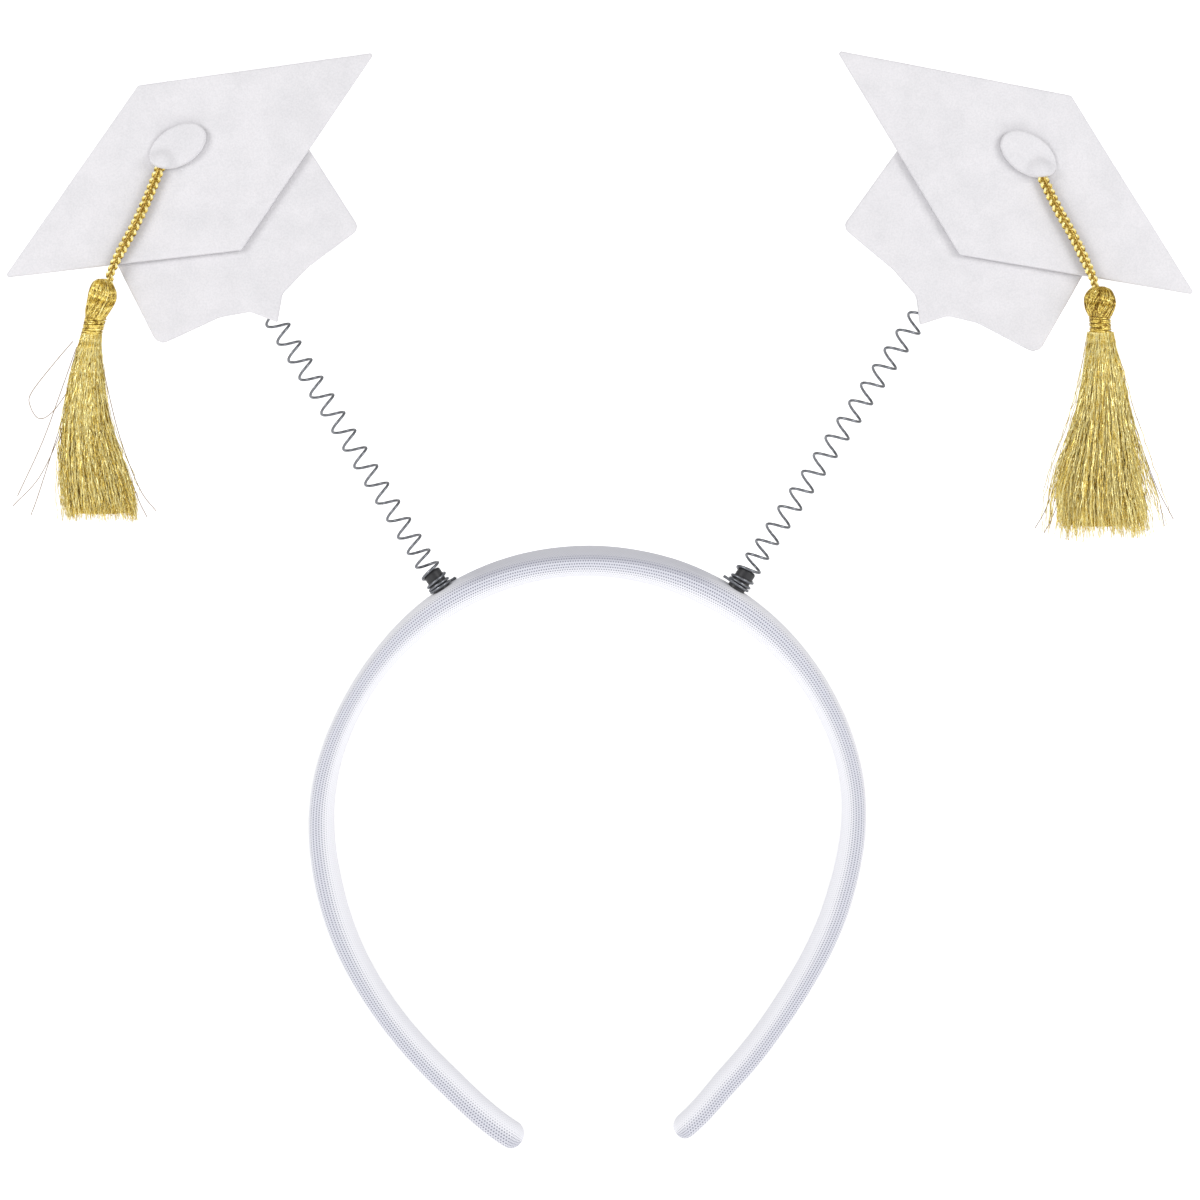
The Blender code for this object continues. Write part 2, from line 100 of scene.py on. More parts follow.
def startMaterial(name, inputs):
    made = bpy.data.materials.new(name)
    made.use_nodes = True
    tree = made.node_tree
    shader = tree.nodes["Principled BSDF"]
    for socket, value in inputs.items():
        shader.inputs[socket].default_value = value
    return made, tree, shader


def smoothAt(rows, at):
    # reads a table's columns on one smooth curve through its rows
    last = len(rows) - 1
    k = max([i for i in range(last) if rows[i][0] <= at] or [0])
    span = rows[k + 1][0] - rows[k][0]
    t = min(max((at - rows[k][0]) / span, 0.0), 1.0)
    values = []
    for column in range(1, len(rows[0])):
        slopes = []
        for i in (k, k + 1):
            low, high = rows[max(i - 1, 0)], rows[min(i + 1, last)]
            slopes.append((high[column] - low[column]) / (high[0] - low[0]) * span)
        a, b = rows[k][column], rows[k + 1][column]
        values.append(
            (2 * t**3 - 3 * t**2 + 1) * a
            + (t**3 - 2 * t**2 + t) * slopes[0]
            + (3 * t**2 - 2 * t**3) * b
            + (t**3 - t**2) * slopes[1]
        )
    return values


def selectOnly(piece):
    if bpy.context.object and bpy.context.object.mode != "OBJECT":
        bpy.ops.object.mode_set(mode="OBJECT")
    bpy.ops.object.select_all(action="DESELECT")
    bpy.context.view_layer.objects.active = piece
    piece.select_set(True)


def editAll(piece):
    selectOnly(piece)
    bpy.ops.object.mode_set(mode="EDIT")
    bpy.ops.mesh.select_all(action="SELECT")


def pickEdges(piece, test):
    # leaves edit mode open with only the wanted edges selected
    bpy.ops.mesh.select_mode(type="EDGE")
    bpy.ops.mesh.select_all(action="DESELECT")
    bpy.ops.object.mode_set(mode="OBJECT")
    verts = piece.data.vertices
    for edge in piece.data.edges:
        edge.select = all(test(verts[i].co) for i in edge.vertices)
    bpy.ops.object.mode_set(mode="EDIT")


def settle(piece, place=None):
    # the place goes into the mesh and the object back to the origin
    if bpy.context.object and bpy.context.object.mode != "OBJECT":
        bpy.ops.object.mode_set(mode="OBJECT")
    bpy.context.view_layer.update()
    piece.data.transform((place or Matrix()) @ piece.matrix_world)
    piece.matrix_world = Matrix()
    piece.data.update()


def finishPiece(piece, material, nodes, angle=40):
    selectOnly(piece)
    for modifier in list(piece.modifiers):
        bpy.ops.object.modifier_apply(modifier=modifier.name)
    bpy.ops.object.shade_smooth_by_angle(angle=math.radians(angle))
    piece.data.materials.clear()
    piece.data.materials.append(material)
    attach(piece, "root")
    if nodes:
        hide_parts(*nodes)
    print("  piece", piece.name, len(piece.data.polygons), "faces")


def layThread(store, points, radius, sides=3, twist=0.0, tones=None, flat=1.0):
    # one thin closed thread; radius may be a list, flat squeezes its section
    points = [Vector(p) for p in points]
    last = len(points) - 1
    start = len(store["verts"])
    along = (points[1] - points[0]).normalized()
    normal = along.orthogonal().normalized()
    for i, point in enumerate(points):
        ahead = (points[min(i + 1, last)] - points[max(i - 1, 0)]).normalized()
        normal = (normal - ahead * normal.dot(ahead)).normalized()
        across = ahead.cross(normal)
        size = radius[i] if isinstance(radius, (list, tuple)) else radius
        for k in range(sides):
            a, b = math.cos(2 * math.pi * k / sides), flat * math.sin(2 * math.pi * k / sides)
            c, s = math.cos(twist * i), math.sin(twist * i)
            offset = normal * (a * c - b * s) + across * (a * s + b * c)
            store["verts"].append(point + offset * size)
            store["tones"].append(tones[i] if tones else 0.5)
    for i in range(last):
        for k in range(sides):
            a = start + i * sides + k
            b = start + i * sides + (k + 1) % sides
            store["faces"].append((a, b, b + sides, a + sides))
    store["faces"].append(tuple(start + k for k in reversed(range(sides))))
    store["faces"].append(tuple(start + last * sides + k for k in range(sides)))


def threadObject(name, store):
    mesh = bpy.data.meshes.new(name)
    mesh.from_pydata(store["verts"], [], store["faces"])
    tone = mesh.attributes.new("tone", "FLOAT", "POINT")
    tone.data.foreach_set("value", store["tones"])
    mesh.update()
    piece = bpy.data.objects.new(name, mesh)
    bpy.context.scene.collection.objects.link(piece)
    return piece


def newStore():
    return {"verts": [], "faces": [], "tones": []}


# camera: in front, at the height of the caps, looking slightly down

camera = {
    "place": (0.0030, -0.89167, 0.11913),
    "down": 8.0,
    "lens": 108.0,
    "sensor": 36.0,
    "nearest": 0.05,
    "farthest": 20.0,
}

cameraData = bpy.data.cameras.new("camera")
cameraData.lens = camera["lens"]
cameraData.sensor_width = camera["sensor"]
cameraData.clip_start = camera["nearest"]
cameraData.clip_end = camera["farthest"]
cameraObject = bpy.data.objects.new("camera", cameraData)
cameraObject.location = camera["place"]
cameraObject.rotation_euler = (math.radians(90 - camera["down"]), 0, 0)
bpy.context.scene.collection.objects.link(cameraObject)
bpy.context.scene.camera = cameraObject
print("camera set")


# felt: needle-punched white polyester, which the eye sees as matt white with a faint grey mottle
# its fibres are about 0.02 mm and too fine to show, so the nap is drawn at 0.45 mm

felt = {"colour": "#DEDCDF", "shade": "#CECDD0", "fibre": 0.45 * mm, "cloud": 7.0 * mm, "nap": 0.12 * mm}

feltMaterial, tree, shader = startMaterial(
    "needle punched white felt",
    {"Roughness": 0.95, "IOR": 1.5, "Specular IOR Level": 0.15,
     "Sheen Weight": 0.25, "Sheen Roughness": 0.6},
)
spot = addNode(tree, "ShaderNodeTexCoord").outputs["Object"]
fibre = addNode(
    tree, "ShaderNodeTexNoise", {},
    {"Vector": spot, "Scale": 1 / felt["fibre"], "Detail": 3.0, "Roughness": 0.65},
)
cloud = addNode(
    tree, "ShaderNodeTexNoise", {}, {"Vector": spot, "Scale": 1 / felt["cloud"], "Detail": 2.0}
)
stipple = addNode(
    tree, "ShaderNodeMapRange", {"interpolation_type": "SMOOTHSTEP"},
    {"Value": fibre.outputs["Fac"], "From Min": 0.35, "From Max": 0.68},
)
mottle = addNode(
    tree, "ShaderNodeMapRange", {},
    {"Value": cloud.outputs["Fac"], "From Min": 0.35, "From Max": 0.65, "To Min": 0.0, "To Max": 0.35},
)
mixed = addNode(
    tree, "ShaderNodeMath", {"operation": "MULTIPLY_ADD"},
    {0: stipple.outputs[0], 1: 0.5, 2: mottle.outputs[0]},
)
feltColour = addNode(
    tree, "ShaderNodeMix", {"data_type": "RGBA"},
    {0: mixed.outputs[0], 6: hexColour(felt["colour"]), 7: hexColour(felt["shade"])},
)
feltBump = addNode(
    tree, "ShaderNodeBump", {},
    {"Height": fibre.outputs["Fac"], "Distance": felt["nap"], "Strength": 0.55},
)
tree.links.new(feltColour.outputs[2], shader.inputs["Base Color"])
tree.links.new(feltBump.outputs[0], shader.inputs["Normal"])


# gold thread: metallised film twisted round a yellow core; its colour runs from a painted highlight
# through gold to a painted brown shade, set by each thread's own tone and a glint noise

gold = {
    "dark": "#7C580E",
    "middle": "#F8DC6C",
    "light": "#FFF3B0",
    # size of the painted glints along the thread
    "strand": 0.26 * mm,
    "relief": 0.05 * mm,
}

goldMaterial, tree, shader = startMaterial(
    "gold metallised thread", {"Metallic": 0.35, "Roughness": 0.3, "Specular IOR Level": 0.3}
)
tone = addNode(tree, "ShaderNodeAttribute", {"attribute_name": "tone"}).outputs["Fac"]
spot = addNode(tree, "ShaderNodeTexCoord").outputs["Object"]
# painted glints: the noise lightens and darkens the colour as highlights and shade along the threads
glint = addNode(
    tree, "ShaderNodeTexNoise", {}, {"Vector": spot, "Scale": 1 / gold["strand"], "Detail": 2.0}
)
lit = addNode(
    tree, "ShaderNodeMath", {"operation": "MULTIPLY_ADD"}, {0: glint.outputs["Fac"], 1: 1.8, 2: -0.9}
)
toned = addNode(
    tree, "ShaderNodeMath", {"operation": "ADD", "use_clamp": True}, {0: tone, 1: lit.outputs[0]}
)
low = addNode(tree, "ShaderNodeMapRange", {}, {"Value": toned.outputs[0], "From Max": 0.5})
high = addNode(tree, "ShaderNodeMapRange", {}, {"Value": toned.outputs[0], "From Min": 0.5})
goldLow = addNode(
    tree, "ShaderNodeMix", {"data_type": "RGBA"},
    {0: low.outputs[0], 6: hexColour(gold["dark"]), 7: hexColour(gold["middle"])},
)
goldAll = addNode(
    tree, "ShaderNodeMix", {"data_type": "RGBA"},
    {0: high.outputs[0], 6: goldLow.outputs[2], 7: hexColour(gold["light"])},
)
goldBump = addNode(
    tree, "ShaderNodeBump", {},
    {"Height": glint.outputs["Fac"], "Distance": gold["relief"], "Strength": 0.4},
)
tree.links.new(goldAll.outputs[2], shader.inputs["Base Color"])
tree.links.new(goldBump.outputs[0], shader.inputs["Normal"])


# spring steel, cold drawn: shiny mid grey wire with darker patches
# real drawing marks are too fine to show, so they are drawn at 0.4 mm

steel = {"bright": "#9C9EA3", "dull": "#54565B", "line": 0.4 * mm}

steelMaterial, tree, shader = startMaterial("cold drawn spring steel", {"Metallic": 1.0, "Roughness": 0.3})
spot = addNode(tree, "ShaderNodeTexCoord").outputs["Object"]
drawn = addNode(
    tree, "ShaderNodeTexNoise", {}, {"Vector": spot, "Scale": 1 / steel["line"], "Detail": 3.0}
)
steelColour = addNode(
    tree, "ShaderNodeMix", {"data_type": "RGBA"},
    {0: drawn.outputs["Fac"], 6: hexColour(steel["bright"]), 7: hexColour(steel["dull"])},
)
steelRough = addNode(
    tree, "ShaderNodeMapRange", {}, {"Value": drawn.outputs["Fac"], "To Min": 0.22, "To Max": 0.42}
)
tree.links.new(steelColour.outputs[2], shader.inputs["Base Color"])
tree.links.new(steelRough.outputs[0], shader.inputs["Roughness"])


# black ABS, moulded: satin black with a slight grain
# real mould grain is too fine to show, so it is drawn at 0.3 mm

plastic = {"black": "#17171A", "worn": "#2C2C30", "grain": 0.3 * mm, "relief": 0.03 * mm}

plasticMaterial, tree, shader = startMaterial("black moulded ABS", {"Roughness": 0.42, "IOR": 1.54})
spot = addNode(tree, "ShaderNodeTexCoord").outputs["Object"]
grain = addNode(
    tree, "ShaderNodeTexNoise", {}, {"Vector": spot, "Scale": 1 / plastic["grain"], "Detail": 2.0}
)
plasticColour = addNode(
    tree, "ShaderNodeMix", {"data_type": "RGBA"},
    {0: grain.outputs["Fac"], 6: hexColour(plastic["black"]), 7: hexColour(plastic["worn"])},
)
plasticBump = addNode(
    tree, "ShaderNodeBump", {},
    {"Height": grain.outputs["Fac"], "Distance": plastic["relief"], "Strength": 0.4},
)
tree.links.new(plasticColour.outputs[2], shader.inputs["Base Color"])
tree.links.new(plasticBump.outputs[0], shader.inputs["Normal"])
print("plain materials made")


# headband: padded band in a knitted sleeve

headband = {
    "radius": 68.0 * mm,
    "thickness": 6.4 * mm,
    "depth": 12.5 * mm,
    "tip": 3.4 * mm,
    "nose": 0.42,
    "outerSquare": 0.72,
    "innerSquare": 0.95,
    "along": 760,
    "round": 72,
    "tipRings": 10,
    "lump": 0.06 * mm,
    "lumpScale": 90,
    # crease along the top: its height, fade and width in mm, its depth, and the angles where it ends
    "creaseAt": 2.35,
    "creaseFade": 0.5,
    "creaseWidth": 0.45,
    "creaseDepth": 0.22 * mm,
    "creaseEnd": 31,
    "creaseRunOut": 9,
    # how strong the painted shade on the top and in the crease is
    "topShadeStrength": 0.45,
    "creaseShadeStrength": 0.5,
    # steps that measure the section, the smallest end ring, and degrees each side for the direction
    "fine": 4000,
    "leastRing": 0.06,
    "lookAhead": 0.6,
}
# angle from the top, then radius, thickness and depth as shares, and twist in degrees
bandSections = (
    (-166, 1.197, 1.05, 0.72, 0.0),
    (-150, 1.082, 1.03, 0.86, 0.0),
    (-130, 1.014, 0.98, 0.93, 0.0),
    (-105, 0.986, 1.06, 1.00, 0.0),
    (-82, 0.991, 0.97, 1.00, 0.0),
    (-58, 0.989, 0.88, 1.00, 0.0),
    (-30, 1.000, 1.11, 1.00, 2.0),
    (0, 1.004, 1.08, 1.00, 6.0),
    (28, 1.000, 1.20, 1.00, 2.0),
    (58, 0.998, 1.00, 1.00, 0.0),
    (80, 0.993, 0.95, 1.00, 0.0),
    (106, 0.967, 1.01, 1.00, 0.0),
    (130, 0.987, 0.96, 0.93, 0.0),
    (150, 1.077, 0.96, 0.86, 0.0),
    (162, 1.184, 0.92, 0.72, 0.0),
)
firstAngle, lastAngle = bandSections[0][0], bandSections[-1][0]
topRow = smoothAt(bandSections, 0)
arcCentre = Vector((0, 0, topRow[1] * headband["thickness"] / 2 - topRow[0] * headband["radius"]))


def arcPoint(angle):
    reach = smoothAt(bandSections, angle)[0] * headband["radius"]
    around = math.radians(angle)
    return arcCentre + Vector((math.sin(around), 0, math.cos(around))) * reach


def sectionPoint(turn):
    # outward and forward place on a section of half size 1, turn 0 at the outer face
    outward, forward = math.cos(turn), math.sin(turn)
    square = headband["outerSquare"] if outward > 0 else headband["innerSquare"]
    full = 1 - headband["nose"] if outward > 0 else 1 + headband["nose"]
    rise = math.copysign(abs(outward) ** square, outward) * full + headband["nose"]
    return rise, math.copysign(abs(forward) ** square, forward)


def evenTurns(count):
    # turns that are evenly spaced along the section's outline
    fine = headband["fine"]
    halves = (headband["thickness"] / 2, headband["depth"] / 2)
    lengths = [0.0]
    before = sectionPoint(0.0)
    for i in range(1, fine + 1):
        now = sectionPoint(2 * math.pi * i / fine)
        step = ((now[0] - before[0]) * halves[0], (now[1] - before[1]) * halves[1])
        lengths.append(lengths[-1] + math.hypot(*step))
        before = now
    turns, i = [], 0
    for k in range(count):
        while lengths[i] < lengths[-1] * k / count:
            i += 1
        turns.append(2 * math.pi * i / fine)
    return turns, lengths[-1]


turns, bandGirth = evenTurns(headband["round"])
rings, sides, tips = headband["along"], headband["round"], headband["tipRings"]
bandRings = []
bandLength = 0.0
for ring in range(rings + 1):
    inner = min(max(ring, tips), rings - tips)
    angle = firstAngle + (lastAngle - firstAngle) * (inner - tips) / (rings - 2 * tips)
    radius, thickness, depth, twist = smoothAt(bandSections, angle)
    low = max(angle - headband["lookAhead"], firstAngle)
    high = min(angle + headband["lookAhead"], lastAngle)
    along = (arcPoint(high) - arcPoint(low)).normalized()
    twisted = Matrix.Rotation(math.radians(twist), 3, along)
    middle = arcPoint(angle)
    share = 1.0
    if ring != inner:  # rounded end
        over = abs(ring - inner) / tips
        share = max(math.sqrt(max(1 - over**2, 0)), headband["leastRing"])
        middle = middle + along * math.copysign(over * headband["tip"], ring - inner)
    if bandRings:
        bandLength += (middle - bandRings[-1]["middle"]).length
    bandRings.append({
        "middle": middle,
        "outward": twisted @ Vector((-along.z, 0, along.x)),
        "forward": twisted @ Vector((0, -1, 0)),
        "half": (thickness * headband["thickness"] / 2 * share, depth * headband["depth"] / 2 * share),
    })

# a flat sleeve, rolled round the band's sections
bpy.ops.object.select_all(action="DESELECT")
bpy.ops.mesh.primitive_grid_add(x_subdivisions=rings, y_subdivisions=sides, size=2.0, calc_uvs=True)
band = bpy.context.object
band.name = "paddedHeadband"
paintedTopShade = band.data.attributes.new("paintedTopShade", "FLOAT", "POINT")
for vertex in band.data.vertices:
    ring = bandRings[round((vertex.co.x + 1) / 2 * rings)]
    rise, front = sectionPoint(turns[round((vertex.co.y + 1) / 2 * sides) % sides])
    point = ring["middle"] + ring["outward"] * rise * ring["half"][0]
    point = point + ring["forward"] * front * ring["half"][1]
    away = (ring["outward"] * rise + ring["forward"] * front).normalized()
    # a shallow crease along the top between the posts, with painted shade over the top and in the crease
    angle = firstAngle + (lastAngle - firstAngle) * (vertex.co.x + 1) / 2
    between = min(max((headband["creaseEnd"] - abs(angle)) / headband["creaseRunOut"], 0.0), 1.0)
    above = rise * ring["half"][0] / mm - headband["creaseAt"]
    onTop = min(max(above / headband["creaseFade"], 0.0), 1.0)
    crease = math.exp(-((above / headband["creaseWidth"]) ** 2))
    paintedShade = headband["topShadeStrength"] * onTop + headband["creaseShadeStrength"] * crease
    paintedTopShade.data[vertex.index].value = between * paintedShade
    lump = noise.noise(point * headband["lumpScale"]) * headband["lump"]
    vertex.co = point + away * (lump - headband["creaseDepth"] * crease * between)
editAll(band)
bpy.ops.mesh.remove_doubles(threshold=0.000001)
bpy.ops.mesh.fill_holes(sides=0)
bpy.ops.mesh.normals_make_consistent(inside=False)
settle(band)

# knit: white sleeve with rows of small holes along the band, clearest where it is stretched over the front
# and back edges, where its ground greys, partly stretched knit and partly painted shade; the holes hold
# painted shade, and painted shade lies over the top and along its crease
# "nose" is an edge's distance from the middle of the inner face, along the section
# the distances from "holesFrom" to "strainTo" are measured from the nose
knit = {
    "thread": "#EEEEF3",
    # grey of the ground toward the edges: partly stretched knit, partly painted shade
    "stretchedAndShaded": "#CDCED8",
    # the holes' dark grey is painted shade inside them
    "hole": "#7C7D8E",
    "row": 0.72 * mm,
    "loop": 0.62 * mm,
    "nose": 8.3 * mm,
    "holesFrom": 3.8 * mm,
    "holesTo": 1.2 * mm,
    "relaxFrom": 1.2 * mm,
    "relaxTo": 3.0 * mm,
    "strainFrom": 0.2 * mm,
    "strainTo": 2.8 * mm,
    "holeDepth": 0.15 * mm,
    # colour of the painted shade on the top of the band and in its crease
    "paintedTopShade": "#9C9DAA",
}
loopsAlong = round(bandLength / knit["loop"])
rowsRound = round(bandGirth / knit["row"] / 2) * 2
knitMaterial, tree, shader = startMaterial(
    "white stretch polyester knit",
    {"Roughness": 0.85, "IOR": 1.5, "Specular IOR Level": 0.2,
     "Sheen Weight": 0.2, "Sheen Roughness": 0.5},
)
sheetSpot = addNode(tree, "ShaderNodeTexCoord").outputs["UV"]
mapped = addNode(
    tree, "ShaderNodeMapping", {}, {"Vector": sheetSpot, "Scale": (loopsAlong, rowsRound, 1)}
)
parts = addNode(tree, "ShaderNodeSeparateXYZ", {}, {0: mapped.outputs[0]})
rowNumber = addNode(tree, "ShaderNodeMath", {"operation": "FLOOR"}, {0: parts.outputs["Y"]})
stagger = addNode(
    tree, "ShaderNodeMath", {"operation": "MULTIPLY_ADD"},
    {0: rowNumber.outputs[0], 1: 0.5, 2: parts.outputs["X"]},
)
inLoop = addNode(tree, "ShaderNodeMath", {"operation": "FRACT"}, {0: stagger.outputs[0]})
inRow = addNode(tree, "ShaderNodeMath", {"operation": "FRACT"}, {0: parts.outputs["Y"]})
cell = addNode(tree, "ShaderNodeCombineXYZ", {}, {0: inLoop.outputs[0], 1: inRow.outputs[0]})
centred = addNode(
    tree, "ShaderNodeVectorMath", {"operation": "SUBTRACT"}, {0: cell.outputs[0], 1: (0.5, 0.5, 0.0)}
)
apart = addNode(tree, "ShaderNodeVectorMath", {"operation": "LENGTH"}, {0: centred.outputs[0]})
hole = addNode(
    tree, "ShaderNodeMapRange", {"interpolation_type": "SMOOTHSTEP"},
    {"Value": apart.outputs["Value"], "From Min": 0.14, "From Max": 0.36, "To Min": 1.0, "To Max": 0.0},
)
sheetParts = addNode(tree, "ShaderNodeSeparateXYZ", {}, {0: sheetSpot})
fromInner = addNode(
    tree, "ShaderNodeMath", {"operation": "SUBTRACT"}, {0: sheetParts.outputs["Y"], 1: 0.5}
)
fromInner = addNode(tree, "ShaderNodeMath", {"operation": "ABSOLUTE"}, {0: fromInner.outputs[0]})
fromInner = addNode(
    tree, "ShaderNodeMath", {"operation": "MULTIPLY"}, {0: fromInner.outputs[0], 1: bandGirth}
)
opened = addNode(
    tree, "ShaderNodeMapRange", {"interpolation_type": "SMOOTHSTEP"},
    {"Value": fromInner.outputs[0], "From Min": knit["nose"] - knit["holesFrom"],
     "From Max": knit["nose"] - knit["holesTo"], "To Min": 0.2, "To Max": 1.0},
)
relaxed = addNode(
    tree, "ShaderNodeMapRange", {"interpolation_type": "SMOOTHSTEP"},
    {"Value": fromInner.outputs[0], "From Min": knit["nose"] + knit["relaxFrom"],
     "From Max": knit["nose"] + knit["relaxTo"], "To Min": 1.0, "To Max": 0.35},
)
opened = addNode(
    tree, "ShaderNodeMath", {"operation": "MULTIPLY"}, {0: opened.outputs[0], 1: relaxed.outputs[0]}
)
toNose = addNode(
    tree, "ShaderNodeMath", {"operation": "SUBTRACT"}, {0: fromInner.outputs[0], 1: knit["nose"]}
)
toNose = addNode(tree, "ShaderNodeMath", {"operation": "ABSOLUTE"}, {0: toNose.outputs[0]})
# the ground greys toward the front and back edges: partly stretched knit, partly painted shade
strainAndShade = addNode(
    tree, "ShaderNodeMapRange", {"interpolation_type": "SMOOTHSTEP"},
    {"Value": toNose.outputs[0], "From Min": knit["strainFrom"], "From Max": knit["strainTo"],
     "To Min": 0.85, "To Max": 0.0},
)
holeShown = addNode(
    tree, "ShaderNodeMath", {"operation": "MULTIPLY"}, {0: hole.outputs[0], 1: opened.outputs[0]}
)
ground = addNode(
    tree, "ShaderNodeMix", {"data_type": "RGBA"},
    {0: strainAndShade.outputs[0], 6: hexColour(knit["thread"]), 7: hexColour(knit["stretchedAndShaded"])},
)
# painted shade on the top and in the crease, read from the vertex attribute
shaded = addNode(tree, "ShaderNodeAttribute", {"attribute_name": "paintedTopShade"}).outputs["Fac"]
ground = addNode(
    tree, "ShaderNodeMix", {"data_type": "RGBA"},
    {0: shaded, 6: ground.outputs[2], 7: hexColour(knit["paintedTopShade"])},
)
# the holes are filled with painted shade
knitColour = addNode(
    tree, "ShaderNodeMix", {"data_type": "RGBA"},
    {0: holeShown.outputs[0], 6: ground.outputs[2], 7: hexColour(knit["hole"])},
)
sunk = addNode(tree, "ShaderNodeMath", {"operation": "SUBTRACT"}, {0: 1.0, 1: holeShown.outputs[0]})
knitBump = addNode(
    tree, "ShaderNodeBump", {},
    {"Height": sunk.outputs[0], "Distance": knit["holeDepth"], "Strength": 0.6},
)
tree.links.new(knitColour.outputs[2], shader.inputs["Base Color"])
tree.links.new(knitBump.outputs[0], shader.inputs["Normal"])
finishPiece(band, knitMaterial, ["headband"], angle=60)
print("headband made, %.0f mm long and %.1f mm round" % (bandLength / mm, bandGirth / mm))


# posts: short black pegs that the springs are wound on

post = {"radius": 2.3 * mm, "height": 5.2 * mm, "sunk": 1.0 * mm, "edge": 0.7 * mm}

for name in stalks:
    bpy.ops.object.select_all(action="DESELECT")
    bpy.ops.mesh.primitive_cylinder_add(
        vertices=48, radius=post["radius"], depth=post["height"] + post["sunk"],
        location=(0, 0, (post["height"] - post["sunk"]) / 2),
    )
    peg = bpy.context.object
    peg.name = "springPost" + name.title()
    settle(peg)
    editAll(peg)
    pickEdges(peg, lambda co: co.z > post["height"] - 0.1 * mm)
    bpy.ops.mesh.bevel(offset=post["edge"], segments=5, affect="EDGES")
    settle(peg, stalkFrame(name))
    finishPiece(peg, plasticMaterial, ["spring_post_" + name])
print("posts made")


# springs: close turns on the post that open out, then even free turns behind the crown

spring = {
    "wire": 0.36 * mm,
    "radius": 2.5 * mm,
    "onPost": 2.73 * mm,
    "wireSides": 8,
    "steps": 30,
    "postTurns": (0.47 * mm, 1.30 * mm, 2.39 * mm, 5.30 * mm),
    "looseTurn": 3.15,
    "firstRise": 0.3 * mm,
}
springs = {
    "left": {
        "pitch": 5.20 * mm,
        "opening": (0.69, 0.80, 0.91),
        "length": 91.2 * mm,
        "start": -0.5,
        "tail": 4.4 * mm,
    },
    "right": {
        "pitch": 5.30 * mm,
        "opening": (0.75, 0.82, 0.92),
        "length": 92.9 * mm,
        "start": 0.0,
        "tail": 4.4 * mm,
    },
}


def wireHeight(name, turn):
    heights = list(spring["postTurns"])
    pitch = springs[name]["pitch"]
    for share in springs[name]["opening"]:
        heights.append(heights[-1] + share * pitch)
    rows = [(float(i), height) for i, height in enumerate(heights)]
    if turn < 0:
        return heights[0] - turn * spring["firstRise"]
    if turn > rows[-1][0]:
        return heights[-1] + (turn - rows[-1][0]) * pitch
    return smoothAt(rows + [(rows[-1][0] + 1, heights[-1] + pitch)], turn)[0]


def coilRadius(turn):
    loosened = min(max(turn - spring["looseTurn"], 0.0), 1.0)
    return spring["onPost"] + (spring["radius"] - spring["onPost"]) * loosened


for name, own in springs.items():
    freeTurns = len(spring["postTurns"]) - 1 + len(own["opening"])
    lastTurn = freeTurns + (own["length"] - wireHeight(name, freeTurns)) / own["pitch"]
    bpy.ops.object.select_all(action="DESELECT")
    bpy.ops.mesh.primitive_circle_add(
        vertices=spring["wireSides"], radius=spring["wire"], rotation=(0, math.pi / 2, 0)
    )
    coil = bpy.context.object
    coil.name = "spring" + name.title()
    settle(coil)
    editAll(coil)
    bpy.ops.transform.translate(value=(0, -spring["radius"], 0))
    bpy.ops.object.mode_set(mode="OBJECT")
    turnCount = math.ceil(lastTurn - own["start"])
    screw = coil.modifiers.new("winding", "SCREW")
    screw.angle = 2 * math.pi
    screw.iterations = turnCount
    screw.screw_offset = own["pitch"]
    screw.steps = screw.render_steps = spring["steps"]
    screw.axis = "Z"
    selectOnly(coil)
    bpy.ops.object.modifier_apply(modifier=screw.name)
    # the even coil is wound again at the real heights and radii, right-handed whichever way it was turned
    spread = (lastTurn - own["start"]) / turnCount
    handed = 1
    quarter = own["pitch"] / 4
    sample = [v.co for v in coil.data.vertices if abs(v.co.z - quarter) < own["pitch"] / 50]
    if sample and sum(co.x for co in sample) < 0:
        handed = -1
    for vertex in coil.data.vertices:
        x, y, z = vertex.co
        around = (math.atan2(y, handed * x) + math.pi / 2) / (2 * math.pi)
        wound = around + round(z / own["pitch"] - around)
        turn = own["start"] + wound * spread
        reach = coilRadius(turn) + math.hypot(x, y) - spring["radius"]
        a = 2 * math.pi * turn - math.pi / 2
        rise = wireHeight(name, turn) + z - own["pitch"] * wound
        vertex.co = (reach * math.cos(a), reach * math.sin(a), rise)
    editAll(coil)
    # the straight end of the wire, which sticks out beside the post
    start = 2 * math.pi * own["start"] - math.pi / 2
    reach = spring["onPost"]
    base = Vector((reach * math.cos(start), reach * math.sin(start), wireHeight(name, own["start"])))
    pickEdges(coil, lambda co: (co - base).length < spring["wire"] * 1.3)
    outOf = Vector((math.sin(start), -math.cos(start), 0)) * own["tail"]
    bpy.ops.mesh.extrude_region_move(TRANSFORM_OT_translate={"value": outOf})
    bpy.ops.mesh.select_all(action="SELECT")
    bpy.ops.mesh.fill_holes(sides=0)
    bpy.ops.mesh.normals_make_consistent(inside=False)
    settle(coil, stalkFrame(name))
    finishPiece(coil, steelMaterial, ["spring_" + name], angle=60)
print("springs wound")


# felt layers: crown, board, and the strip behind the crown that holds the spring

feltLayers = {
    "cell": 1.6 * mm,
    "edge": 0.35 * mm,
    "fuzz": 0.05 * mm,
    "fuzzScale": 900,
    "wave": 0.45 * mm,
    "crease": 0.22 * mm,
    "creaseWidth": 1.9 * mm,
    "creaseAt": 34.5 * mm,
}


def feltFuzz(spot):
    # the small unevenness of a felt face
    shifted = [spot * feltLayers["fuzzScale"] + Vector((k * 7, 0, 0)) for k in range(3)]
    return Vector([noise.noise(at) for at in shifted]) * feltLayers["fuzz"]


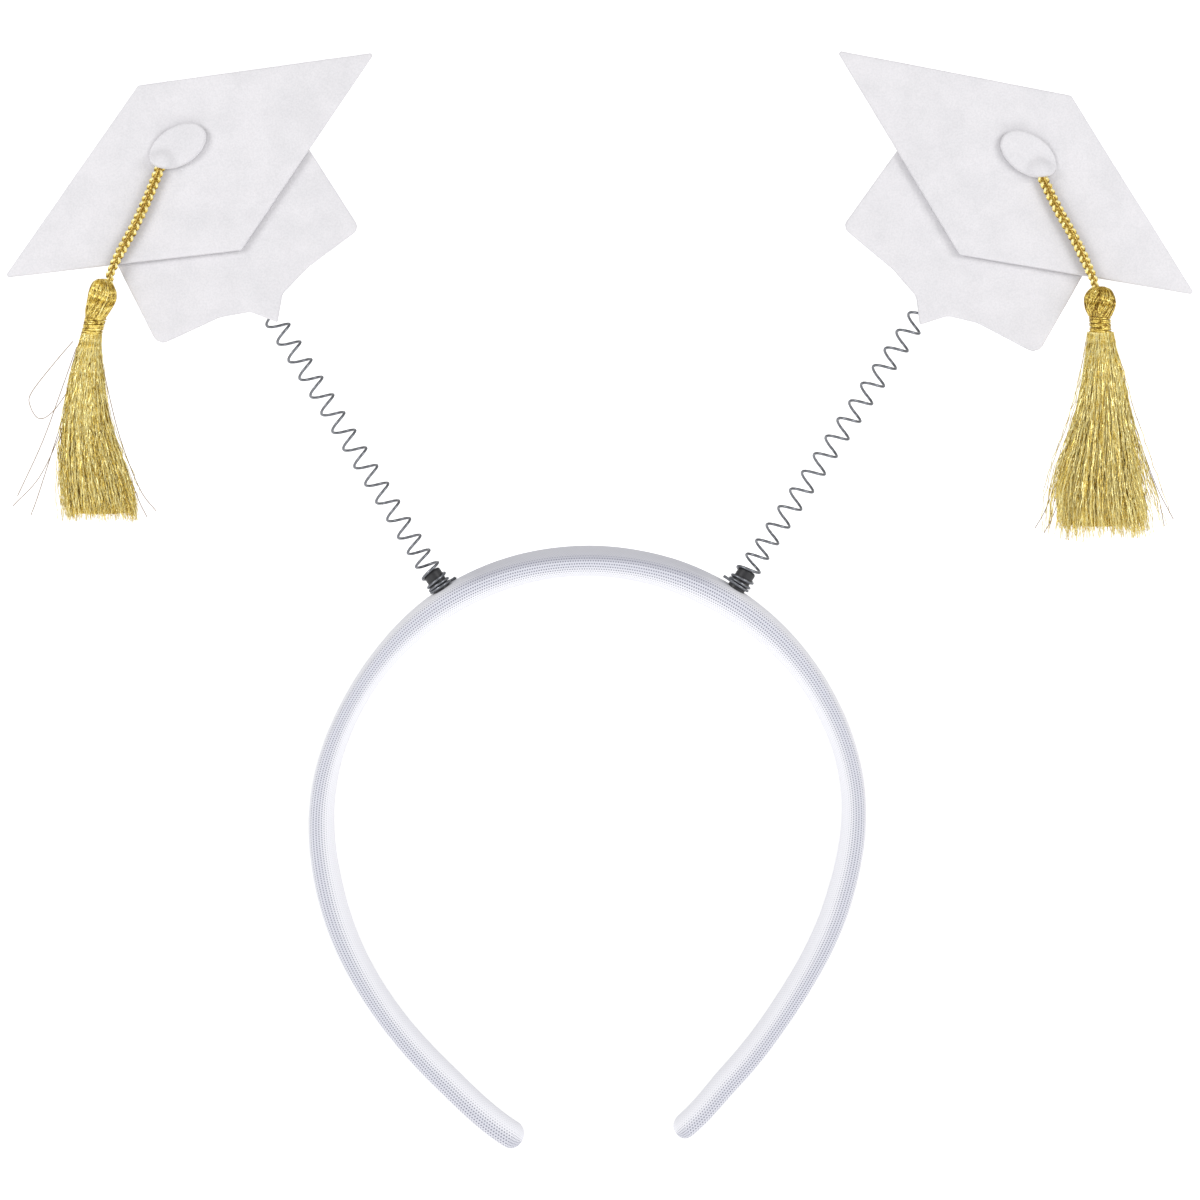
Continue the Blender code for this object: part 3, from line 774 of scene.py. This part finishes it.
def feltWave(spot, name):
    # slow waves shared by every layer of a cap, so that the layers stay together
    side = stalks[name]["side"]
    wave = noise.noise(Vector((spot.x * 28 + 5 * side, 0, spot.z * 40))) * feltLayers["wave"]
    return wave * min(1.0, abs(spot.x) / 0.02 + 0.3)


def boardCrease(spot, name):
    # a faint pressed crease across the outer end of the left board
    if name != "left":
        return 0.0
    off = (spot.x + feltLayers["creaseAt"]) * 0.83 - spot.z * 0.10
    return feltLayers["crease"] * math.exp(-((off / feltLayers["creaseWidth"]) ** 2))


def feltFromNode(node, pieceName, name, across, up, crease=False):
    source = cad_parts[node].data.copy()
    piece = bpy.data.objects.new(pieceName, source)
    bpy.context.scene.collection.objects.link(piece)
    inverse = capFrame(name).inverted()
    settle(piece, inverse)
    editAll(piece)
    bpy.ops.mesh.remove_doubles(threshold=0.00001)
    bpy.ops.mesh.dissolve_limited(angle_limit=math.radians(0.6))
    bpy.ops.mesh.select_mode(type="EDGE")
    bpy.ops.mesh.select_all(action="DESELECT")
    bpy.ops.mesh.edges_select_sharp(sharpness=math.radians(50))
    bpy.ops.mesh.bevel(offset=feltLayers["edge"], segments=3, affect="EDGES")
    for normal, (low, high) in (((1, 0, 0), across), ((0, 0, 1), up)):
        count = int((high - low) / feltLayers["cell"])
        for k in range(1, count):
            at = low + (high - low) * k / count
            bpy.ops.mesh.select_all(action="SELECT")
            bpy.ops.mesh.bisect(plane_co=[at * n for n in normal], plane_no=normal)
    bpy.ops.object.mode_set(mode="OBJECT")
    for vertex in piece.data.vertices:
        spot = vertex.co.copy()
        shift = feltWave(spot, name) + (boardCrease(spot, name) if crease else 0.0)
        vertex.co = spot + feltFuzz(spot) + Vector((0, shift, 0))
    settle(piece, capFrame(name))
    return piece


# how far each layer reaches across and up from the middle of its cap
crownReach = ((-31 * mm, 31 * mm), (-45 * mm, -3 * mm))
boardReach = ((-54 * mm, 54 * mm), (-24.5 * mm, 24.5 * mm))
stripReach = ((-12 * mm, 12 * mm), (-40 * mm, -26 * mm))
for name in stalks:
    crown = feltFromNode("crown_" + name, "crown" + name.title(), name, *crownReach)
    finishPiece(crown, feltMaterial, ["crown_" + name])
    board = feltFromNode("board_" + name, "board" + name.title(), name, *boardReach, crease=True)
    finishPiece(board, feltMaterial, ["board_" + name])
    strip = feltFromNode("spring_strip_" + name, "springStrip" + name.title(), name, *stripReach)
    finishPiece(strip, feltMaterial, ["spring_strip_" + name])
print("felt layers cut")


# buttons: oval felt, plump where it covers the start of the cord

button = {
    "length": 15.5 * mm,
    "height": 9.5 * mm,
    "felt": 1.6 * mm,
    "front": -8.18 * mm,
    "rise": 5.9 * mm,
    "edge": 0.65 * mm,
    "bulge": 1.3 * mm,
    "bulgeWidth": 3.3 * mm,
    "pressed": 1.2 * mm,
    "dome": 0.25 * mm,
    "rings": 6,
    "ringShare": 0.80,
}
# the cord's route from under the button to the tassel, in mm outward and up from the cap's middle
cords = {
    "left": {
        "route": (
            (4.1, 5.2), (6.9, 3.2), (13.7, -1.8), (20.1, -6.0), (26.2, -9.5), (30.8, -12.7), (32.3, -15.0)
        ),
        "length": 34.9 * mm,
        "seed": 41,
    },
    "right": {
        "route": (
            (3.3, 4.6), (6.0, 3.0), (13.4, -1.2), (20.5, -4.7), (26.3, -8.0), (31.3, -11.2), (33.0, -13.5)
        ),
        "length": 35.0 * mm,
        "seed": 43,
    },
}
cordDepth = -7.76 * mm


def cordLine(name, count):
    side = stalks[name]["side"]
    route = [Vector((side * x * mm, cordDepth, z * mm)) for x, z in cords[name]["route"]]
    travelled = [0.0]
    for a, b in zip(route, route[1:]):
        travelled.append(travelled[-1] + (b - a).length)
    rows = [(at, *point) for at, point in zip(travelled, route)]
    return [Vector(smoothAt(rows, travelled[-1] * i / (count - 1))) for i in range(count)]


for name in stalks:
    bpy.ops.object.select_all(action="DESELECT")
    middle = (0, button["front"] + button["felt"] / 2, button["rise"])
    bpy.ops.mesh.primitive_cylinder_add(
        vertices=112, radius=1.0, depth=button["felt"], rotation=(math.pi / 2, 0, 0)
    )
    oval = bpy.context.object
    oval.name = "button" + name.title()
    settle(oval)
    editAll(oval)
    bpy.ops.transform.resize(
        value=(button["length"] / 2, 1.0, button["height"] / 2), center_override=(0, 0, 0)
    )
    pickEdges(oval, lambda co: co.y < 0)
    bpy.ops.mesh.bevel(offset=button["edge"], segments=5, affect="EDGES")
    bpy.ops.mesh.select_mode(type="FACE")
    bpy.ops.mesh.select_all(action="DESELECT")
    bpy.ops.object.mode_set(mode="OBJECT")
    for face in oval.data.polygons:
        face.select = face.normal.y < -0.999
    bpy.ops.object.mode_set(mode="EDIT")
    for k in range(button["rings"]):
        bpy.ops.mesh.extrude_region_move()
        bpy.ops.transform.resize(
            value=(button["ringShare"], 1.0, button["ringShare"]), center_override=(0, 0, 0)
        )
    settle(oval, Matrix.Translation(middle))
    line = cordLine(name, 20)
    start = line[1]  # the cord comes out here
    for vertex in oval.data.vertices:
        co = vertex.co
        ahead = min(1.0, max(0.0, (middle[1] + button["felt"] / 2 - co.y) / button["felt"]))
        near = (math.hypot(co.x - start.x, co.z - start.z) / button["bulgeWidth"]) ** 4
        out = math.hypot(co.x / button["length"] * 2, (co.z - middle[2]) / button["height"] * 2)
        dome = button["dome"] * (1 - min(1.0, out))
        outer = min(max((stalks[name]["side"] * co.x / button["length"] * 2 + 0.15) / 0.95, 0.0), 1.0)
        pressed = button["pressed"] * outer**2 * (3 - 2 * outer)
        co.y -= ahead * (button["bulge"] * math.exp(-near) + dome - pressed * (1 - math.exp(-near)))
        co.y += feltWave(co, name)
        vertex.co = co + feltFuzz(co)
    settle(oval, capFrame(name))
    finishPiece(oval, feltMaterial, ["button_" + name])
print("buttons made")


# braided cords: three strands of gold threads, plaited flat

braid = {
    "width": 0.90 * mm,
    "depth": 0.30 * mm,
    "period": 4.8 * mm,
    "strand": 0.29 * mm,
    "filament": 0.17 * mm,
    "filaments": 5,
    "filamentTwist": 1.9 * mm,
    "points": 200,
    # the core is a dark tube of painted shade under the strands
    "core": 0.78 * mm,
    # the core thins from this point of the line on, and the strands from this share of its length
    "coreThinFrom": 130,
    "coreThinBy": 0.5,
    "slimFrom": 0.72,
    "slimBy": 0.30,
    "startLength": 3.5 * mm,
    "strays": 90,
    "stray": 0.05 * mm,
}

for name in stalks:
    place = capFrame(name)
    line = cordLine(name, braid["points"])
    length = sum((b - a).length for a, b in zip(line, line[1:]))
    store = newStore()
    draw = random.Random(cords[name]["seed"])
    for strand in range(3):
        for filament in range(braid["filaments"]):
            phase = 2 * math.pi * filament / braid["filaments"]
            routePoints, tones, sizes = [], [], []
            base = draw.uniform(0.15, 0.6)
            for i, point in enumerate(line):
                at = i / (len(line) - 1) * length
                ahead = (line[min(i + 1, len(line) - 1)] - line[max(i - 1, 0)]).normalized()
                across = Vector((0, -1, 0)).cross(ahead).normalized()
                out = Vector((0, -1, 0))
                ending = max(0.0, (at / length - braid["slimFrom"]) / (1 - braid["slimFrom"]))
                slim = 1.0 - braid["slimBy"] * ending
                slim *= min(1.0, 0.75 + at / braid["startLength"] * 0.25)
                wave = 2 * math.pi * (at / braid["period"] + strand / 3)
                side = math.sin(wave) * braid["width"] * slim
                over = math.sin(2 * wave) * braid["depth"] * slim
                turn = phase + 2 * math.pi * at / braid["filamentTwist"]
                side += math.cos(turn) * braid["strand"] * slim
                over += math.sin(turn) * braid["strand"] * 0.85 * slim
                routePoints.append(point + across * side + out * over)
                # lighter where a strand rides over and where a filament faces out, darker where it dips
                # under: painted highlight and shade on top of each filament's own tone
                tones.append(base + 0.30 * math.sin(turn) + 0.55 * math.sin(2 * wave))
                sizes.append(braid["filament"] * slim)
            layThread(store, routePoints, sizes, sides=5, tones=tones)
    thinPoints = braid["points"] - braid["coreThinFrom"]
    coreSizes = []
    for i in range(len(line)):
        thinned = braid["coreThinBy"] * max(0, i - braid["coreThinFrom"]) / thinPoints
        coreSizes.append(braid["core"] * (1.0 - thinned))
    # a dark core under the strands, painted shade that fills the gaps between them
    layThread(store, line, coreSizes, sides=8, tones=[0.05] * len(line))
    for k in range(braid["strays"]):  # broken filaments that stand off the cord
        i = draw.randrange(4, len(line) - 4)
        away = Vector((draw.uniform(-1, 1), draw.uniform(-1, -0.2), draw.uniform(-1, 1))).normalized()
        start = line[i] + away * 0.7 * mm
        bent = Vector((draw.uniform(-1, 1), 0, draw.uniform(-1, 1))) * 0.4 * mm
        stray = [start, start + away * 0.4 * mm + bent * 0.5, start + away * 0.6 * mm + bent * 1.5]
        layThread(store, stray, braid["stray"])
    cord = threadObject("braidedCord" + name.title(), store)
    settle(cord, place)
    finishPiece(cord, goldMaterial, ["cord_" + name], angle=70)
print("cords plaited")


# tassels: gold threads over a head, bound at the neck, hanging free below

# shares of the length down and of the width out
headRows = ((0.0, 0.0), (0.05, 0.45), (0.18, 0.78), (0.42, 1.00), (0.72, 0.96), (0.92, 0.80), (1.0, 0.72))
skirtRows = (
    (0.00, 0.25), (0.07, 0.30), (0.22, 0.43), (0.42, 0.59), (0.62, 0.79), (0.82, 0.95),
    (0.95, 1.00), (1.10, 1.04),
)
tassels = {
    "left": {
        "top": (-0.120464, 0.002648, 0.074007),
        "headLength": 13.8 * mm,
        "headWidth": 6.6 * mm,
        "wrapLength": 4.2 * mm,
        "neck": 5.3 * mm,
        "skirtLength": 46.8 * mm,
        "skirtWidth": 18.7 * mm,
        "sway": (
            (0.00, 0.000), (0.08, 0.000), (0.17, 0.030), (0.27, 0.052), (0.42, 0.066), (0.60, 0.068),
            (0.78, 0.046), (1.00, 0.012), (1.10, 0.000),
        ),
        "seed": 11,
        "dense": 0.93,
        "looseShare": 0.12,
        "skirtTone": 0.82,
        "headTone": 0.36,
        "fan": 1.15,
        # loose threads, in mm: across and up
        "loose": (
            (
                (-127.7, 58.4), (-132.5, 53.0), (-138.2, 45.8), (-138.6, 42.6),
                (-136.4, 39.3), (-132.9, 41.1), (-127.6, 48.5),
            ),
            ((-126.8, 57.0), (-131.0, 46.0), (-136.0, 33.0), (-142.2, 19.9)),
            ((-126.5, 52.0), (-130.5, 38.0), (-136.5, 25.0), (-143.4, 17.4)),
            ((-127.0, 50.0), (-131.8, 36.0), (-137.2, 20.0), (-139.0, 15.0)),
            ((-121.0, 55.0), (-117.0, 36.0), (-112.0, 22.0), (-107.7, 16.1)),
            ((-121.5, 50.0), (-117.5, 34.0), (-112.6, 20.0), (-110.0, 14.6)),
        ),
    },
    "right": {
        "top": (0.126796, 0.002312, 0.07206),
        "headLength": 11.8 * mm,
        "headWidth": 7.3 * mm,
        "wrapLength": 4.5 * mm,
        "neck": 5.4 * mm,
        "skirtLength": 50.0 * mm,
        "skirtWidth": 23.7 * mm,
        "sway": (
            (0.00, 0.000), (0.18, 0.006), (0.38, 0.018), (0.60, 0.018), (0.78, 0.015), (1.00, 0.030),
            (1.10, 0.034),
        ),
        "seed": 23,
        "dense": 0.88,
        "looseShare": 0.26,
        "skirtTone": 0.98,
        "headTone": 0.25,
        "fan": 1.42,
        "loose": (
            ((129.5, 56.0), (134.5, 42.0), (141.0, 24.0), (146.0, 14.1)),
            ((129.5, 52.0), (135.5, 36.0), (141.5, 22.0), (143.8, 12.4)),
            ((124.5, 50.0), (120.0, 34.0), (114.8, 18.0), (111.5, 11.8)),
            ((124.6, 46.0), (121.0, 30.0), (116.5, 16.0), (113.8, 10.6)),
            ((129.8, 47.0), (134.0, 34.0), (138.8, 20.0), (139.5, 11.0)),
        ),
    },
}
tassel = {
    "threads": 1300,
    "threadSteps": 24,
    "threadRadius": 0.115 * mm,
    "headThreads": 420,
    "locks": 13,
    "squeeze": 0.75,
    "wrapTurns": 12,
    "wrapThread": 0.19 * mm,
    "wrapSteps": 26,
    "headSteps": 15,
    "ringSides": 40,
    "looseSteps": 40,
    "looseRadius": 0.11 * mm,
    "looseTone": -0.5,
}


def tasselMiddle(own, down, side):
    length = own["headLength"] + own["skirtLength"]
    drift = smoothAt(own["sway"], min(down / length, 1.09))[0] * length * side
    top = Vector(own["top"])
    return Vector((top.x + drift, top.y, top.z - down))


for name, own in tassels.items():
    side = stalks[name]["side"]
    draw = random.Random(own["seed"])
    neckTop = own["headLength"] - own["wrapLength"]
    store = newStore()
    # dark middle of the tassel, painted shade for its packed threads, seen only between the threads
    coreRings = []
    for down, width in headRows[1:]:
        coreRings.append((down * neckTop, width * own["headWidth"] / 2 * 0.90, 1.0))
    coreRings.append((own["headLength"], own["neck"] / 2 * 0.72, 1.0))
    for down, width in skirtRows[1:-1]:
        packed = (1 - (1 - own["dense"]) * min(1.0, down / 0.5)) * 0.82
        coreRings.append((
            own["headLength"] + down * own["skirtLength"], width * own["skirtWidth"] / 2 * packed,
            tassel["squeeze"],
        ))
    first = len(store["verts"])
    ringSides = tassel["ringSides"]
    for down, radius, squeeze in coreRings:
        middle = tasselMiddle(own, down, side)
        for k in range(ringSides):
            a = 2 * math.pi * k / ringSides
            wobble = 1 + 0.05 * math.sin(a * tassel["locks"] / 2 + down * 300)
            across, deep = radius * wobble * math.cos(a), radius * wobble * squeeze * math.sin(a)
            store["verts"].append(middle + Vector((across, deep, 0)))
            store["tones"].append(0.3)
    for r in range(len(coreRings) - 1):
        for k in range(ringSides):
            a = first + r * ringSides + k
            b = first + r * ringSides + (k + 1) % ringSides
            store["faces"].append((b, a, a + ringSides, b + ringSides))
    store["faces"].append(tuple(first + k for k in range(ringSides)))
    tail = first + (len(coreRings) - 1) * ringSides
    store["faces"].append(tuple(tail + k for k in reversed(range(ringSides))))
    # threads over the head
    for k in range(tassel["headThreads"]):
        a = 2 * math.pi * (k + draw.uniform(-0.3, 0.3)) / tassel["headThreads"]
        swirl = draw.gauss(-0.75, 0.35)
        base = draw.gauss(own["headTone"], 0.2)
        proud = draw.uniform(0.93, 1.06)
        points, tones = [], []
        for i in range(tassel["headSteps"]):
            share = 0.03 + 0.97 * i / (tassel["headSteps"] - 1)
            down = share * neckTop * 1.02
            radius = smoothAt(headRows, share)[0] * own["headWidth"] / 2 * proud
            turn = a + swirl * share
            middle = tasselMiddle(own, down, side)
            points.append(middle + Vector((radius * math.cos(turn), radius * math.sin(turn), 0)))
            tones.append(base + draw.uniform(-0.35, 0.35))
        layThread(store, points, tassel["threadRadius"] * 1.1, sides=4, twist=0.5, tones=tones, flat=0.7)
    head = threadObject("tasselHead" + name.title(), store)
    settle(head)
    finishPiece(head, goldMaterial, ["tassel_" + name], angle=50)
    store = newStore()
    # threads of the skirt, gathered in locks
    locks = [
        {
            "turn": 2 * math.pi * (k + draw.uniform(-0.3, 0.3)) / tassel["locks"],
            "out": draw.uniform(0.9, 1.08),
            "end": draw.uniform(0.93, 1.02),
            "tone": draw.uniform(-0.10, 0.12),
        }
        for k in range(tassel["locks"])
    ]
    for k in range(tassel["threads"]):
        lock = draw.choice(locks)
        turn = lock["turn"] + draw.gauss(0, 0.22)
        reach = min(1.0, 0.76 + 0.26 * math.sqrt(draw.random())) * lock["out"]
        loose = draw.random() < own["looseShare"]
        reach *= draw.uniform(own["dense"], 1.04) if loose else 1.0
        end = lock["end"] * draw.uniform(0.90, 1.03) if not loose else draw.uniform(0.80, 1.02)
        spread = draw.uniform(1.0, own["fan"]) if loose else draw.uniform(0.97, 1.03)
        bend = (draw.gauss(0, 0.35), draw.gauss(0, 0.35))
        swirl = draw.gauss(0, 0.22)
        base = draw.gauss(own["skirtTone"], 0.27) + lock["tone"]
        twist = 0.9 + draw.uniform(0, 6) * 0.1
        points, tones, sizes = [], [], []
        for i in range(tassel["threadSteps"]):
            share = i / (tassel["threadSteps"] - 1) * end
            down = own["headLength"] - 0.4 * mm + share * own["skirtLength"]
            radius = smoothAt(skirtRows, share)[0] * own["skirtWidth"] / 2
            packed = 1.0 if loose else 1 - (1 - own["dense"]) * min(1.0, share / 0.5)
            radius *= reach * packed * (1 + (spread - 1) * share)
            squeeze = 1 - (1 - tassel["squeeze"]) * min(1.0, share / 0.15)
            a = turn + swirl * share
            middle = tasselMiddle(own, down, side)
            crimp = [noise.noise(Vector((k * 3.1, share * 26, at))) for at in (0, 9)]
            crimp = Vector((*crimp, 0)) * (0.3 * mm + 0.45 * mm * share)
            drift = Vector((bend[0], bend[1], 0)) * mm * share**2 * 1.6
            points.append(
                middle + Vector((radius * math.cos(a), radius * squeeze * math.sin(a), 0)) + crimp + drift
            )
            patch = 0.30 * noise.noise(Vector((k * 1.7, share * 45, 3)))
            tones.append(base + patch + draw.uniform(-0.5, 0.5))
            sizes.append(tassel["threadRadius"] * (1.0 if i < tassel["threadSteps"] - 2 else 0.7))
        layThread(store, points, sizes, sides=3, twist=twist, tones=tones)
    # a few long loose threads
    for route in own["loose"]:
        rows = [(float(i), x * mm, z * mm) for i, (x, z) in enumerate(route)]
        points = []
        for i in range(tassel["looseSteps"]):
            at = i / (tassel["looseSteps"] - 1) * (len(route) - 1)
            x, z = smoothAt(rows, at)
            points.append(Vector((x, own["top"][1] - 1.5 * mm + 0.8 * mm * math.sin(at * 1.3), z)))
        tones = [tassel["looseTone"]] * len(points)
        layThread(store, points, tassel["looseRadius"], sides=4, tones=tones)
    piece = threadObject("tasselSkirt" + name.title(), store)
    settle(piece)
    finishPiece(piece, goldMaterial, ["tassel_" + name], angle=50)
    # binding round the neck
    store = newStore()
    steps = tassel["wrapSteps"]
    count = tassel["wrapTurns"] * steps
    for strand in range(2):
        points, tones = [], []
        for i in range(count + 1):
            share = i / count
            down = neckTop + tassel["wrapThread"]
            down += share * (own["wrapLength"] - 2 * tassel["wrapThread"])
            a = 2 * math.pi * i / steps + strand * math.pi
            radius = own["neck"] / 2 - tassel["wrapThread"] * 0.9
            radius += 0.3 * mm * noise.noise(Vector((i * 0.21, strand * 5, own["seed"])))
            middle = tasselMiddle(own, down + 0.18 * mm * math.sin(a * 0.37 + strand), side)
            points.append(middle + Vector((radius * math.cos(a), radius * math.sin(a), 0)))
            tones.append(own["headTone"] + draw.uniform(-0.4, 0.4))
        layThread(store, points, tassel["wrapThread"], sides=6, tones=tones)
    wrap = threadObject("tasselBinding" + name.title(), store)
    settle(wrap)
    finishPiece(wrap, goldMaterial, ["tassel_wrap_" + name], angle=70)
print("tassels made")


# stage: a pale floor that turns up into a backdrop, and soft light from both sides

stage = {
    "floor": -0.262,
    "width": 3.2,
    "front": -1.6,
    "back": 2.0,
    "wall": 1.0,
    "light": 0.42,
    "paper": "#F9F9FA",
    "paperShade": "#F6F6F7",
    "sky": 0.545,
}

# matt white paper that glows a little, so that it reads as clear white
paperMaterial, tree, shader = startMaterial(
    "white matt backdrop paper",
    {"Roughness": 0.9, "Specular IOR Level": 0.1, "Emission Color": (1.0, 1.0, 1.0, 1.0),
     "Emission Strength": stage["light"]},
)
spot = addNode(tree, "ShaderNodeTexCoord").outputs["Object"]
paperGrain = addNode(tree, "ShaderNodeTexNoise", {}, {"Vector": spot, "Scale": 4.0})
paperColour = addNode(
    tree, "ShaderNodeMix", {"data_type": "RGBA"},
    {0: paperGrain.outputs["Fac"], 6: hexColour(stage["paper"]), 7: hexColour(stage["paperShade"])},
)
tree.links.new(paperColour.outputs[2], shader.inputs["Base Color"])
bpy.ops.object.select_all(action="DESELECT")
floorMiddle = (0, (stage["front"] + stage["back"]) / 2, stage["floor"])
bpy.ops.mesh.primitive_plane_add(size=1.0, location=floorMiddle)
floor = bpy.context.object
floor.name = "studioFloor"
floor.scale = (stage["width"], stage["back"] - stage["front"], 1)
settle(floor)
editAll(floor)
pickEdges(floor, lambda co: co.y > 0)
bpy.ops.mesh.extrude_region_move(TRANSFORM_OT_translate={"value": (0, 0, stage["wall"])})
settle(floor)
floor.data.materials.append(paperMaterial)

world = bpy.data.worlds.new("studio")
bpy.context.scene.world = world
world.use_nodes = True
sky = world.node_tree.nodes["Background"]
sky.inputs["Color"].default_value = (1.0, 1.0, 1.0, 1.0)
sky.inputs["Strength"].default_value = stage["sky"]

lamps = {
    "softboxLeft": {"place": (-0.56, -0.48, 0.30), "aim": (-0.05, 0, 0.06), "size": 0.32, "watts": 2.2},
    "softboxRight": {"place": (0.56, -0.48, 0.30), "aim": (0.05, 0, 0.06), "size": 0.32, "watts": 2.2},
}
for name, lamp in lamps.items():
    light = bpy.data.lights.new(name, "AREA")
    light.energy = lamp["watts"]
    light.size = lamp["size"]
    holder = bpy.data.objects.new(name, light)
    holder.location = lamp["place"]
    toward = Vector(lamp["aim"]) - Vector(lamp["place"])
    holder.rotation_euler = toward.to_track_quat("-Z", "Y").to_euler()
    bpy.context.scene.collection.objects.link(holder)
bpy.context.scene.view_settings.view_transform = "Standard"
bpy.context.scene.view_settings.look = "None"
print("stage and light set")
